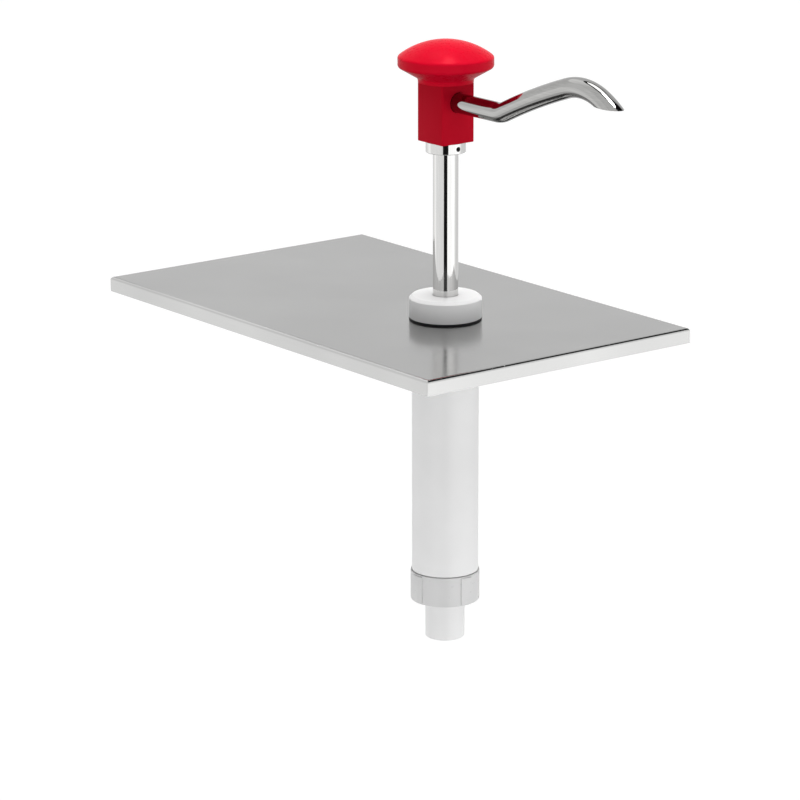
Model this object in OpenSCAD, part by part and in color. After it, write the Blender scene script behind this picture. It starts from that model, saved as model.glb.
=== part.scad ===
// Sauce pump dispenser: a push-down piston pump hung in a folded sheet lid for a quarter-size pan.
// Millimetres, +Z up, the spout points to -Y, and the lid's long side lies along Y.
// The origin is the middle of the lid's underside, the face that rests on the pan's rim.

/* [Lid] */
// Length of the pan rim that the lid covers
pan_length = 265; // [220:1:360]
// Width of the pan rim that the lid covers
pan_width = 162; // [110:1:240]
// Gap between the pan's rim and the flange, on each side
pan_gap = 0.7; // [0.2:0.1:2]
// Thickness of the folded sheet
sheet = 0.8; // [0.6:0.1:1.5]
// Inside radius of the folds
fold_radius = 0.5; // [0.3:0.1:2]
// Depth of the flange below the lid's underside
flange_depth = 6.9; // [4:0.1:20]
// Open seam where two flanges meet at a corner
seam_gap = 0.2; // [0.1:0.1:0.8]
// Distance from the lid's front edge back to the pump's axis
pump_setback = 90.7; // [40:0.1:110]
// Depth of the drawn wall round the pump's hole, below the lid's underside
draw_depth = 2.4; // [2:0.1:6]
// Inside radius at the root of the drawn wall
draw_radius = 0.5; // [0.3:0.1:0.9]
// Clearance between the cylinder's neck and the lid's hole
hole_gap = 0.2; // [0.1:0.05:0.6]

/* [Collar and rod guide] */
// Height of the collar nut
collar_h = 10.8; // [8:0.1:14]
// Wall of the collar nut outside its thread
collar_wall = 4.2; // [2.5:0.1:8]
// Thickness of the collar nut's roof
collar_roof = 2.4; // [1.5:0.1:3.5]
// Bevel round the collar nut's top edge
collar_bevel = 1.5; // [0.4:0.1:2.2]
// Thickness of the gasket between collar nut and lid
gasket_t = 1.3; // [1:0.1:3]
// Gap round the rod in the collar nut's roof
rod_opening = 0.25; // [0.15:0.05:1.2]
// Wall of the rod guide's sleeve
guide_wall = 3.6; // [2.8:0.1:4.4]
// Thickness of the rod guide's flange
guide_flange_t = 1.5; // [1:0.1:2]
// Distance that the guide's sleeve stays above the top of the bore
guide_setback = 1; // [0.3:0.1:4]
// Height of the wiper ring in the guide's mouth
wiper_h = 2.5; // [1.5:0.1:4]
// Width of the wiper ring's section
wiper_w = 2.15; // [1.4:0.05:2.6]

/* [Cylinder] */
// Outside diameter of the cylinder
barrel_d = 33.6; // [32:0.1:40]
// Wall of the cylinder round the piston's bore
barrel_wall = 3.8; // [3.2:0.1:5]
// Width of the shoulder that clamps under the lid
shoulder_w = 2.8; // [1.8:0.1:4]
// Thickness between the shoulder and the top of the bore
barrel_roof = 9.6; // [6:0.1:16]
// Step in from the cylinder's outside to its foot thread
foot_step = 1.5; // [1:0.1:2]
// Length of the foot thread
foot_thread_h = 10.3; // [7:0.1:16]
// Chamfer at the cylinder's shoulders
shoulder_chamfer = 0.4; // [0.1:0.1:0.8]

/* [Ring nut] */
// How far the ring nut stands out past the cylinder
ring_proud = 0.9; // [0.5:0.1:4]
// Thickness of the ring nut's floor
ring_floor = 2.2; // [1.5:0.1:5]
// Gap between the ring nut and the cylinder's lower shoulder
ring_gap = 0.3; // [0.1:0.1:1]
// Bevel round the ring nut's edges
ring_bevel = 0.5; // [0.1:0.1:1]
// Number of grip lugs on the ring nut
lug_count = 4; // [2:1:12]
// Width of one grip lug
lug_w = 6.8; // [3:0.1:8]
// How far a grip lug stands out
lug_proud = 0.4; // [0.2:0.1:1.5]

/* [Foot valve] */
// Step in from the piston's bore to the inlet's outside
inlet_step = 3; // [2.5:0.1:4]
// Length of the inlet below the ring nut
inlet_length = 20.3; // [12:0.1:60]
// Wall of the inlet round the ball chamber
inlet_wall = 1.5; // [1:0.1:2.5]
// Chamfer at the inlet's end
inlet_chamfer = 0.5; // [0.2:0.1:1]
// Thickness of the flange clamped by the ring nut
foot_flange_t = 3.2; // [2:0.1:6]
// Height of the spigot in the cylinder's bore
spigot_h = 8; // [6:0.1:14]
// Free space beside the foot ball for the sauce
foot_flow = 1.5; // [1:0.1:2.5]
// How far the foot ball laps its seat
foot_lap = 1; // [0.5:0.1:2]
// Lift of the foot ball
foot_lift = 4; // [2:0.1:6]
// Thickness of the cage over the foot ball
cage_t = 2; // [1.2:0.1:3]
// Ledge that the cage sits on
cage_ledge = 1; // [0.6:0.1:1.2]
// Width of the cage's spokes
spoke_w = 2.2; // [1.2:0.1:3.5]

/* [Plunger] */
// Travel of the plunger
stroke = 71.9; // [30:0.1:90]
// Outside diameter of the rod, a round tube
rod_d = 12.7; // [12:0.1:14]
// Wall of the rod
rod_wall = 1; // [0.6:0.1:1.5]
// Height of the ferrule under the head
ferrule_h = 5.3; // [4:0.1:10]
// Wall of the ferrule
ferrule_wall = 3.65; // [2.5:0.05:6]
// Bevel round the ferrule's edges
ferrule_bevel = 0.3; // [0.1:0.1:0.8]
// Diameter of the ferrule's set screw
screw_d = 2.4; // [1.6:0.1:3.4]
// How far the set screw lies below the ferrule's surface
screw_inset = 0.4; // [0.1:0.1:1]
// Across-flats size of the set screw's socket
screw_socket = 1.3; // [0.7:0.1:1.5]

/* [Head] */
// Width of the square head block
block_w = 20; // [18:0.1:30]
// Height of the head block
block_h = 29.7; // [27:0.1:45]
// Rounding of the block's upright edges
block_edge = 0.8; // [0.3:0.1:3]
// Depth of the rod's socket in the block
rod_socket = 12.7; // [8:0.1:13]
// Height of the spout's axis above the block's foot
spout_rise = 20.6; // [20:0.1:21.5]
// Diameter of the boss that carries the knob
boss_d = 12; // [8:0.1:16]
// Height of the boss that carries the knob
boss_h = 9; // [5:0.1:12]

/* [Knob] */
// Diameter of the mushroom knob
knob_d = 47.6; // [40:0.1:60]
// Radius of the knob's dome
knob_dome = 38.4; // [32:0.1:60]
// Rounding of the knob's rim
knob_edge = 1.8; // [1:0.1:3]
// Height of the rim's upright side
knob_side = 3; // [1:0.1:8]
// Slope of the knob's underside in degrees
knob_slope = 30; // [15:1:40]
// Height of the round neck under the knob
knob_neck_h = 1.9; // [1.2:0.1:5]
// Fillet between neck and underside
knob_fillet = 2; // [0.5:0.1:3]

/* [Spout] */
// Outside diameter of the spout's tube
spout_d = 10; // [9:0.1:11]
// Wall of the spout's tube
spout_wall = 1; // [0.6:0.1:1.4]
// Reach of the level run, from the pump's axis to the first bend
spout_level = 40.4; // [25:0.1:60]
// Radius of the first bend, which turns the tube up
rise_radius = 15.2; // [12:0.1:30]
// Slope after the first bend, in degrees
rise_slope = 25; // [15:0.5:40]
// Radius of the long arch
arch_radius = 400; // [150:1:600]
// Slope where the long arch ends, in degrees
arch_slope = 18; // [8:0.5:20]
// Radius of the crest bend
crest_radius = 34; // [20:0.1:50]
// Slope after the crest bend, in degrees below level
fall_slope = 26; // [10:0.5:40]
// Radius of the last bend
tip_radius = 58.5; // [40:0.1:90]
// Rise of the level-cut mouth above the spout's root axis
mouth_rise = 14.5; // [8:0.1:18]

/* [Piston] */
// Thickness of the piston's seat
piston_seat_t = 3; // [2:0.1:5]
// Free space beside the discharge ball for the sauce
discharge_flow = 1.35; // [0.8:0.05:2]
// How far the discharge ball laps its seat
discharge_lap = 1; // [0.5:0.1:1.6]
// Lift of the discharge ball
discharge_lift = 3; // [1.5:0.1:5]
// Diameter of the cross pin
pin_d = 2; // [1.5:0.1:3]
// Length of rod below the cross pin
pin_cover = 4; // [3:0.1:6]
// Height of the piston above the cross pin
piston_crown = 6; // [5.4:0.1:10]
// Section of the piston's and the foot valve's seals
seal_t = 2; // [1.5:0.1:2.4]
// Land beyond a piston seal's groove
seal_land = 1.4; // [1:0.1:1.6]

/* [Return spring] */
// Diameter of the spring's wire
wire_d = 1.5; // [1:0.1:2]
// Turns of the spring, end turns included
spring_turns = 12; // [8:1:16]
// Height to spare when the spring is pressed home
spring_spare = 7.5; // [1:0.1:12]
// Gap between the wires of the end turns
end_turn_gap = 0.5; // [0.45:0.05:1]
// Gap between the spring and the bore
spring_side_gap = 1.05; // [0.6:0.05:2]
// Thickness of the thrust washer
washer_t = 1; // [0.6:0.1:2]
// Gap between the thrust washer and the bore
washer_gap = 0.5; // [0.3:0.1:1]
// Width of the thrust washer's ring
washer_w = 6; // [4:0.1:8]

/* [Fits] */
// Clearance of parts that are fixed together
fit_gap = 0.05; // [0.02:0.01:0.1]
// Clearance of a screwed thread
thread_gap = 0.1; // [0.05:0.05:0.3]
// Clearance of the rod in its guide and wiper
run_gap = 0.05; // [0.02:0.01:0.09]
// Clearance of the piston in the bore
piston_gap = 0.08; // [0.03:0.01:0.1]
// Clearance of the piston's seals in the bore
seal_gap = 0.05; // [0.02:0.01:0.09]
// Play between faces that slide or seat
slip_gap = 0.1; // [0.05:0.05:0.3]
// Play at the end of a motion
stop_gap = 0.3; // [0.1:0.1:1]

/* [Hidden] */
$fn = 96;

// Overrun of a cutting shape past the face that it opens
cut = 1;

lid_length = pan_length + 2 * (pan_gap + sheet);
lid_width = pan_width + 2 * (pan_gap + sheet);
pump_y = pump_setback - lid_length / 2;

// Diameters from the cylinder outwards and inwards
bore_d = barrel_d - 2 * barrel_wall;
neck_d = barrel_d - 2 * shoulder_w;
sleeve_d = rod_d + 2 * guide_wall;
neck_bore_d = sleeve_d + 2 * fit_gap;
collar_d = neck_d + 2 * collar_wall;
hole_d = neck_d + 2 * hole_gap;
wiper_d = rod_d + 2 * wiper_w;
foot_thread_d = barrel_d - 2 * foot_step;
ring_d = barrel_d + 2 * ring_proud;
ring_bore_d = foot_thread_d + 2 * thread_gap;
foot_flange_d = foot_thread_d - 4 * thread_gap;
inlet_d = bore_d - 2 * inlet_step;
inlet_root_d = inlet_d + 4 * thread_gap;
spigot_d = bore_d - 2 * slip_gap;
chamber_d = inlet_d - 2 * inlet_wall;
cage_d = chamber_d + 2 * cage_ledge;
foot_ball_d = chamber_d - 2 * foot_flow;
inlet_bore_d = foot_ball_d - 2 * foot_lap;
rod_bore_d = rod_d - 2 * rod_wall;
piston_d = bore_d - 2 * piston_gap;
discharge_ball_d = rod_bore_d - 2 * discharge_flow;
orifice_d = discharge_ball_d - 2 * discharge_lap;
ferrule_d = rod_d + 2 * ferrule_wall;
spout_bore_d = spout_d - 2 * spout_wall;
washer_d = bore_d - 2 * washer_gap;
washer_hole = washer_d - 2 * washer_w;
spring_d = bore_d - wire_d - 2 * spring_side_gap;

// Seals: mean diameter of the ring, and floor of the groove that it lies in
bore_seal_d = bore_d - seal_t - 2 * seal_gap;
bore_groove_d = bore_seal_d - seal_t - 2 * fit_gap;
groove_h = seal_t + 4 * slip_gap;
head_seal_t = 0.75 * seal_t;
head_groove_h = head_seal_t + 4 * slip_gap;

// Height of a ball's centre above the edge of its round seat
function seat_height(ball_d, hole_d) = sqrt(pow(ball_d / 2, 2) - pow(hole_d / 2, 2));

// Levels from the lid upwards
lid_top = sheet;
collar_bottom = lid_top + gasket_t;
collar_top = collar_bottom + collar_h;
guide_top = collar_top - collar_roof;
neck_top = guide_top - guide_flange_t;
ferrule_bottom = collar_top + stroke + 2 * stop_gap;
block_bottom = ferrule_bottom + ferrule_h;
block_top = block_bottom + block_h;
rod_top = block_bottom + rod_socket;
spout_z = block_bottom + spout_rise;
mouth_z = spout_z + mouth_rise;

// Levels from the lid downwards
shoulder_z = -draw_depth;
bore_top = shoulder_z - barrel_roof;
guide_bottom = bore_top + guide_setback;
piston_top = bore_top - stop_gap;
pin_z = piston_top - piston_crown;
rod_bottom = pin_z - pin_cover;
discharge_ball_z = pin_z - pin_d / 2 - stop_gap - discharge_lift - discharge_ball_d / 2;
piston_seat_z = discharge_ball_z - seat_height(discharge_ball_d, orifice_d) - slip_gap;
piston_bottom = piston_seat_z - piston_seat_t;
washer_top = piston_bottom - slip_gap;
washer_bottom = washer_top - washer_t;
spring_closed = (spring_turns + 1) * wire_d + spring_spare;
spigot_top = washer_bottom - stroke - spring_closed;
barrel_end = spigot_top - spigot_h;
lower_shoulder = barrel_end + foot_thread_h;
ring_top = lower_shoulder - ring_gap;
flange_bottom = barrel_end - foot_flange_t;
ring_bottom = flange_bottom - ring_floor;
inlet_end = ring_bottom - inlet_length;
cage_z = spigot_top - cage_t;
foot_ball_z = cage_z - stop_gap - foot_lift - foot_ball_d / 2;
foot_seat_z = foot_ball_z - seat_height(foot_ball_d, inlet_bore_d) - slip_gap;

// The knob's neck reaches the block's rounded corners
knob_neck_r = (block_w / 2 - block_edge) * sqrt(2) + block_edge;
knob_rim_r = knob_d / 2 - knob_edge;
under_r = knob_rim_r + knob_edge * sin(knob_slope);
neck_corner_z = block_top + knob_neck_h;
under_z = neck_corner_z + (under_r - knob_neck_r) * tan(knob_slope);
rim_low_z = under_z + knob_edge * cos(knob_slope);
rim_high_z = rim_low_z + knob_side;
dome_z = rim_high_z - sqrt(pow(knob_dome - knob_edge, 2) - pow(knob_rim_r, 2));

// The spout's centre line as [out from the axis, height] where each run starts, all slopes in degrees.
// A bend is [radius, slope at its end]. Slopes that fall are negative.
spout_root = rod_bore_d / 2;
spout_end_slope = -80;
bends = [
    [rise_radius, rise_slope],
    [arch_radius, arch_slope],
    [crest_radius, -fall_slope],
    [tip_radius, spout_end_slope]
];
// A bend's centre lies above the tube where it turns up, and below it where it turns down
function turn(i) = bends[i][1] > bend_from(i) ? 1 : -1;
function bend_from(i) = i == 0 ? 0 : bends[i - 1][1];
function bend_centre(i) = bend_start(i) + turn(i) * bends[i][0] * [-sin(bend_from(i)), cos(bend_from(i))];
function bend_start(i) = i == 0 ? [spout_level, spout_z]
    : bend_centre(i - 1) + turn(i - 1) * bends[i - 1][0] * [sin(bends[i - 1][1]), -cos(bends[i - 1][1])];

// The spring's wire as a helix of hexagon rings: close end turns, open turns between
spring_bottom = spigot_top + slip_gap;
spring_top = washer_bottom - slip_gap;
spring_run = spring_top - spring_bottom - wire_d;
rings_per_turn = 8;
spring_rings = spring_turns * rings_per_turn;
end_pitch = wire_d + end_turn_gap;
open_pitch = (spring_run - 2 * end_pitch) / (spring_turns - 2);
function wire_z(t) = spring_bottom + wire_d / 2
    + min(t, 1) * end_pitch + max(0, min(t - 1, spring_turns - 2)) * open_pitch
    + max(0, t - spring_turns + 1) * end_pitch;
function wire_point(i) = let (a = 360 * i / rings_per_turn)
    [spring_d / 2 * cos(a), spring_d / 2 * sin(a), wire_z(i / rings_per_turn)];
wire_points = [for (i = [0:spring_rings]) wire_point(i)];
wire_gaps = [for (i = [0:spring_rings]) for (j = [i + rings_per_turn / 2:1:spring_rings])
    norm(wire_points[i] - wire_points[j]) - wire_d];
echo(least_gap_of_the_spring_to_itself = min(wire_gaps));

// Everything of the pump is drawn about the Z axis and moved to the hole in the lid
module at_pump() {
    translate([0, pump_y, 0]) children();
}

module disc(d, low, high) {
    translate([0, 0, low]) cylinder(h = high - low, d = d);
}

module ring(outer_d, inner_d, low, high) {
    difference() {
        disc(outer_d, low, high);
        disc(inner_d, low - cut, high + cut);
    }
}

module o_ring(mean_d, section) {
    rotate_extrude() translate([mean_d / 2, 0]) circle(d = section);
}

// A disc whose top and bottom edges are bevelled
module bevelled_disc(d, low, high, low_bevel, high_bevel) {
    rotate_extrude() polygon([
        [0, low], [d / 2 - low_bevel, low], [d / 2, low + low_bevel],
        [d / 2, high - high_bevel], [d / 2 - high_bevel, high], [0, high]
    ]);
}

// Outline of a sheet folded down at both sides, with round folds
module fold_section(span, top, low, r) {
    translate([r - span / 2, low]) square([span - 2 * r, top - low]);
    translate([-span / 2, low]) square([span, top - r - low]);
    for (side = [-1, 1]) translate([side * (span / 2 - r), top - r]) circle(r);
}

// Two folded outlines crossed at right angles, which meet in mitres at the corners
module fold_body(length, width, top, low, r) {
    intersection() {
        rotate([90, 0, 0]) linear_extrude(length, center = true) fold_section(width, top, low, r);
        rotate([90, 0, 90]) linear_extrude(width, center = true) fold_section(length, top, low, r);
    }
}

// The seams where the flanges meet, open from their lower edges up to the folds
module corner_seams() {
    seam_length = 4 * (sheet + fold_radius);
    for (x = [-1, 1]) for (y = [-1, 1])
        translate([x * lid_width / 2, y * lid_length / 2, -fold_radius])
            rotate([0, 0, x * y * 45])
                translate([-seam_length / 2, -seam_gap / 2, -flange_depth])
                    cube([seam_length, seam_gap, flange_depth]);
}

// Half outline of the wall drawn down round the pump's hole, with its root fillet
module drawn_wall() {
    wall_r = hole_d / 2 + sheet;
    translate([hole_d / 2, -draw_depth]) square([sheet, draw_depth + sheet / 2]);
    difference() {
        translate([hole_d / 2 + sheet / 2, -draw_radius]) square([sheet / 2 + draw_radius, draw_radius + sheet / 2]);
        translate([wall_r + draw_radius, -draw_radius]) circle(draw_radius);
    }
}

// Half outline of the hole, with the roll where the sheet turns down into it
module drawn_mouth() {
    roll = draw_radius + sheet;
    translate([0, -draw_depth - cut]) square([hole_d / 2, draw_depth + sheet + 2 * cut]);
    difference() {
        translate([hole_d / 2 - roll, sheet - roll]) square([2 * roll, roll + cut]);
        translate([hole_d / 2 + roll, sheet - roll]) circle(roll);
    }
}

module lid_plate() {
    color([0.74, 0.74, 0.75]) difference() {
        union() {
            difference() {
                fold_body(lid_length, lid_width, sheet, -flange_depth, fold_radius + sheet);
                fold_body(lid_length - 2 * sheet, lid_width - 2 * sheet, 0, -flange_depth - cut, fold_radius);
                corner_seams();
            }
            at_pump() rotate_extrude() drawn_wall();
        }
        at_pump() rotate_extrude() drawn_mouth();
    }
}

module lid_gasket() {
    color([0.06, 0.06, 0.06]) at_pump() ring(collar_d, neck_d + 4 * thread_gap, lid_top, collar_bottom);
}

module collar_nut() {
    color([0.93, 0.93, 0.93]) at_pump() difference() {
        bevelled_disc(collar_d, collar_bottom, collar_top, 0, collar_bevel);
        disc(neck_d + 2 * thread_gap, collar_bottom - cut, guide_top);
        disc(rod_d + 2 * rod_opening, guide_top - cut, collar_top + cut);
    }
}

module rod_guide() {
    color([0.96, 0.95, 0.9]) at_pump() difference() {
        union() {
            disc(neck_d, neck_top, guide_top);
            disc(sleeve_d, guide_bottom, guide_top);
        }
        disc(rod_d + 2 * run_gap, guide_bottom - cut, guide_top + cut);
        disc(wiper_d, guide_top - wiper_h, guide_top + cut);
    }
}

module rod_wiper() {
    color([0.08, 0.08, 0.08]) at_pump()
        ring(wiper_d - 2 * fit_gap, rod_d + 2 * run_gap, guide_top - wiper_h, guide_top);
}

module pump_cylinder() {
    color([0.9, 0.9, 0.9]) at_pump() difference() {
        union() {
            disc(neck_d, shoulder_z - cut, neck_top);
            bevelled_disc(barrel_d, lower_shoulder, shoulder_z, shoulder_chamfer, shoulder_chamfer);
            disc(foot_thread_d, barrel_end, lower_shoulder + cut);
        }
        disc(bore_d, barrel_end - cut, bore_top);
        disc(neck_bore_d, bore_top - cut, neck_top + cut);
    }
}

// A grip lug is a band of the ring nut's side, swept through the angle that its width takes
module grip_lug() {
    sweep = lug_w / (PI * ring_d) * 360;
    rotate([0, 0, -sweep / 2]) rotate_extrude(angle = sweep)
        translate([ring_d / 2 - ring_bevel, ring_bottom + ring_bevel])
            square([ring_bevel + lug_proud, ring_top - ring_bottom - 2 * ring_bevel]);
}

module ring_nut() {
    color([0.86, 0.86, 0.86]) at_pump() difference() {
        union() {
            bevelled_disc(ring_d, ring_bottom, ring_top, ring_bevel, ring_bevel);
            for (i = [0:lug_count - 1]) rotate([0, 0, i * 360 / lug_count]) grip_lug();
        }
        disc(ring_bore_d, flange_bottom, ring_top + cut);
        disc(inlet_root_d + 2 * thread_gap, ring_bottom - cut, flange_bottom + cut);
    }
}

module foot_valve_body() {
    seal_z = barrel_end + spigot_h / 2;
    color([0.9, 0.9, 0.9]) at_pump() difference() {
        union() {
            bevelled_disc(inlet_d, inlet_end, barrel_end, inlet_chamfer, 0);
            disc(inlet_root_d, ring_bottom, barrel_end);
            disc(foot_flange_d, flange_bottom, barrel_end);
            disc(spigot_d, barrel_end - foot_flange_t / 2, spigot_top);
        }
        disc(inlet_bore_d, inlet_end - cut, foot_seat_z + cut);
        rotate_extrude() polygon([
            [0, foot_seat_z], [inlet_bore_d / 2, foot_seat_z],
            [chamber_d / 2, foot_seat_z + (chamber_d - inlet_bore_d) / 2],
            [chamber_d / 2, cage_z + cut], [0, cage_z + cut]
        ]);
        disc(cage_d, cage_z, spigot_top + cut);
        ring(bore_d + cut, bore_groove_d, seal_z - groove_h / 2, seal_z + groove_h / 2);
    }
}

module foot_seal() {
    color([0.08, 0.08, 0.08]) at_pump() translate([0, 0, barrel_end + spigot_h / 2]) o_ring(bore_seal_d, seal_t);
}

// A disc with one window in each quarter, which leaves a hub and four spokes over the ball
module foot_cage() {
    hub_d = 2 * spoke_w;
    rim_d = cage_d - spoke_w;
    color([0.85, 0.85, 0.84]) at_pump() difference() {
        disc(cage_d - 2 * fit_gap, cage_z, spigot_top);
        difference() {
            ring(rim_d, hub_d, cage_z - cut, spigot_top + cut);
            for (turn = [0, 90]) rotate([0, 0, turn])
                translate([-cage_d / 2, -spoke_w / 2, cage_z - 2 * cut])
                    cube([cage_d, spoke_w, cage_t + 4 * cut]);
        }
    }
}

module foot_ball() {
    color([0.7, 0.7, 0.72]) at_pump() translate([0, 0, foot_ball_z]) sphere(d = foot_ball_d);
}

// Six points round the wire at ring i, square to the helix there
function wire_ring(i) =
    let (
        a = 360 * i / rings_per_turn,
        rise = wire_z((i + 1) / rings_per_turn) - wire_z((i - 1) / rings_per_turn),
        slope = atan(rise * rings_per_turn / (2 * PI * spring_d)),
        out = [cos(a), sin(a), 0],
        up = [sin(a) * sin(slope), -cos(a) * sin(slope), cos(slope)]
    )
    [for (k = [0:5]) wire_points[i] + wire_d / 2 * (cos(60 * k) * out + sin(60 * k) * up)];

module return_spring() {
    last = spring_rings;
    faces = concat(
        [[5, 4, 3, 2, 1, 0]],
        [for (i = [0:last - 1]) for (k = [0:5])
            let (a = 6 * i + k, b = 6 * i + (k + 1) % 6) each [[a, b, b + 6], [a, b + 6, a + 6]]],
        [[for (k = [0:5]) 6 * last + k]]
    );
    color([0.75, 0.75, 0.76]) at_pump()
        polyhedron(points = [for (i = [0:last]) each wire_ring(i)], faces = faces);
}

module spring_washer() {
    color([0.75, 0.75, 0.76]) at_pump() ring(washer_d, washer_hole, washer_bottom, washer_top);
}

function upper_seal_z() = piston_top - seal_land - groove_h / 2;
function lower_seal_z() = piston_bottom + seal_land + groove_h / 2;

module piston() {
    color([0.9, 0.9, 0.88]) at_pump() difference() {
        disc(piston_d, piston_bottom, piston_top);
        for (z = [upper_seal_z(), lower_seal_z()])
            ring(bore_d + cut, bore_groove_d, z - groove_h / 2, z + groove_h / 2);
        disc(rod_d + 2 * fit_gap, rod_bottom, piston_top + cut);
        rotate_extrude() polygon([
            [0, piston_bottom - cut], [orifice_d / 2, piston_bottom - cut], [orifice_d / 2, piston_seat_z],
            [rod_bore_d / 2, piston_seat_z + (rod_bore_d - orifice_d) / 2],
            [rod_bore_d / 2, rod_bottom + cut], [0, rod_bottom + cut]
        ]);
        cross_hole();
    }
}

// The hole through piston and rod that the cross pin fills
module cross_hole() {
    translate([0, 0, pin_z]) rotate([0, 90, 0]) cylinder(h = bore_d + cut, d = pin_d + 2 * fit_gap, center = true);
}

module piston_seal_upper() {
    color([0.08, 0.08, 0.08]) at_pump() translate([0, 0, upper_seal_z()]) o_ring(bore_seal_d, seal_t);
}

module piston_seal_lower() {
    color([0.08, 0.08, 0.08]) at_pump() translate([0, 0, lower_seal_z()]) o_ring(bore_seal_d, seal_t);
}

module piston_pin() {
    color([0.7, 0.7, 0.72]) at_pump() translate([0, 0, pin_z]) rotate([0, 90, 0])
        cylinder(h = piston_d - 4 * slip_gap, d = pin_d, center = true);
}

module discharge_ball() {
    color([0.7, 0.7, 0.72]) at_pump() translate([0, 0, discharge_ball_z]) sphere(d = discharge_ball_d);
}

module plunger_tube() {
    color([0.8, 0.8, 0.82]) at_pump() difference() {
        ring(rod_d, rod_bore_d, rod_bottom, rod_top);
        cross_hole();
    }
}

// The set screw bears on the rod from the spout's side, halfway up the ferrule
module screw_axis() {
    translate([0, 0, ferrule_bottom + ferrule_h / 2]) rotate([90, 0, 0]) children();
}

module head_ferrule() {
    color([0.8, 0.8, 0.82]) at_pump() difference() {
        bevelled_disc(ferrule_d, ferrule_bottom, block_bottom, ferrule_bevel, 0);
        disc(rod_d + 2 * fit_gap, ferrule_bottom - cut, block_bottom + cut);
        screw_axis() cylinder(h = ferrule_d, d = screw_d + 2 * fit_gap);
    }
}

module ferrule_screw() {
    inner = rod_d / 2 + fit_gap;
    outer = ferrule_d / 2 - screw_inset;
    color([0.1, 0.1, 0.1]) at_pump() screw_axis() difference() {
        disc(screw_d, inner, outer);
        translate([0, 0, (inner + outer) / 2])
            cylinder(h = outer - inner, d = screw_socket / cos(30), $fn = 6);
    }
}

module rounded_square(w, r) {
    square([w - 2 * r, w], center = true);
    square([w, w - 2 * r], center = true);
    for (x = [-1, 1]) for (y = [-1, 1]) translate([x * (w / 2 - r), y * (w / 2 - r)]) circle(r);
}

// Lays a shape drawn in [out from the axis, height] into the upright plane that points to -Y
module in_spout_plane() {
    rotate([90, 0, -90]) children();
}

// A cylinder along the spout's level root, from one distance out from the axis to another
module root_bore(d, from, to) {
    in_spout_plane() translate([from, spout_z, 0]) rotate([0, 90, 0]) cylinder(h = to - from, d = d);
}

tube_seal_z = block_bottom + rod_socket / 2;
spout_seal_out = (spout_root + block_w / 2) / 2;

module head_block() {
    color([0.78, 0.04, 0.1]) at_pump() difference() {
        union() {
            translate([0, 0, block_bottom]) linear_extrude(block_h) rounded_square(block_w, block_edge);
            disc(boss_d, block_top - cut, block_top + boss_h);
        }
        disc(rod_d + 2 * fit_gap, block_bottom - cut, rod_top);
        disc(spout_bore_d, rod_top - cut, spout_z + spout_bore_d / 2);
        root_bore(spout_bore_d, 0, spout_root + cut);
        root_bore(spout_d + 2 * fit_gap, spout_root, block_w / 2 + cut);
        ring(rod_d + 2 * fit_gap + 2 * head_seal_t, rod_d - cut,
            tube_seal_z - head_groove_h / 2, tube_seal_z + head_groove_h / 2);
        translate([0, -spout_seal_out, spout_z]) rotate([90, 0, 0])
            ring(spout_d + 2 * fit_gap + 2 * head_seal_t, spout_d - cut, -head_groove_h / 2, head_groove_h / 2);
    }
}

module tube_seal() {
    color([0.08, 0.08, 0.08]) at_pump() translate([0, 0, tube_seal_z])
        o_ring(rod_d + fit_gap + head_seal_t, head_seal_t);
}

module spout_seal() {
    color([0.08, 0.08, 0.08]) at_pump() translate([0, -spout_seal_out, spout_z]) rotate([90, 0, 0])
        o_ring(spout_d + fit_gap + head_seal_t, head_seal_t);
}

// Moves by whole millimetres and then by the rest, so an export that keeps six digits stays exact
module move_to(point) {
    whole = [for (v = point) floor(v)];
    translate(whole) translate(point - whole) children();
}

// One bend of the tube, a sector of a ring tube about the bend's centre
module spout_bend(i) {
    from = bend_from(i) - 90 * turn(i);
    to = bends[i][1] - 90 * turn(i);
    move_to([bend_centre(i)[0], bend_centre(i)[1], 0])
        rotate_extrude(angle = abs(to - from), start = min(from, to)) translate([bends[i][0], 0]) difference() {
            circle(d = spout_d);
            circle(d = spout_bore_d);
        }
}

// The mouth is cut level, from below the crest outwards
module spout() {
    color([0.75, 0.75, 0.76]) at_pump() in_spout_plane() difference() {
        union() {
            translate([spout_root, spout_z, 0]) rotate([0, 90, 0])
                difference() {
                    cylinder(h = spout_level - spout_root, d = spout_d);
                    cylinder(h = spout_level - spout_root, d = spout_bore_d);
                }
            for (i = [0:3]) spout_bend(i);
        }
        translate([bend_centre(2)[0], mouth_z - 2 * tip_radius, -spout_d])
            cube([2 * tip_radius, 2 * tip_radius, 2 * spout_d]);
    }
}

// The underside's fillet fills the corner between the neck and the slope
module knob_half() {
    fillet_z = neck_corner_z + knob_fillet * (tan(knob_slope) - 1 / cos(knob_slope));
    touch_r = knob_neck_r + knob_fillet * (1 - sin(knob_slope));
    dome_out = knob_rim_r * knob_dome / (knob_dome - knob_edge);
    dome_edge_z = dome_z + sqrt(pow(knob_dome, 2) - pow(dome_out, 2));
    polygon([
        [0, block_top], [knob_neck_r, block_top], [knob_neck_r, neck_corner_z], [under_r, under_z],
        [knob_d / 2, rim_low_z], [knob_d / 2, rim_high_z], [dome_out, dome_edge_z], [0, dome_edge_z]
    ]);
    for (z = [rim_low_z, rim_high_z]) translate([knob_rim_r, z]) circle(knob_edge);
    intersection() {
        translate([0, dome_z]) circle(knob_dome);
        translate([0, dome_edge_z]) square([dome_out, knob_dome]);
    }
    difference() {
        polygon([
            [knob_neck_r, fillet_z], [knob_neck_r + knob_fillet, fillet_z],
            [touch_r, neck_corner_z + (touch_r - knob_neck_r) * tan(knob_slope)], [knob_neck_r, neck_corner_z]
        ]);
        translate([knob_neck_r + knob_fillet, fillet_z]) circle(knob_fillet);
    }
}

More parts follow.
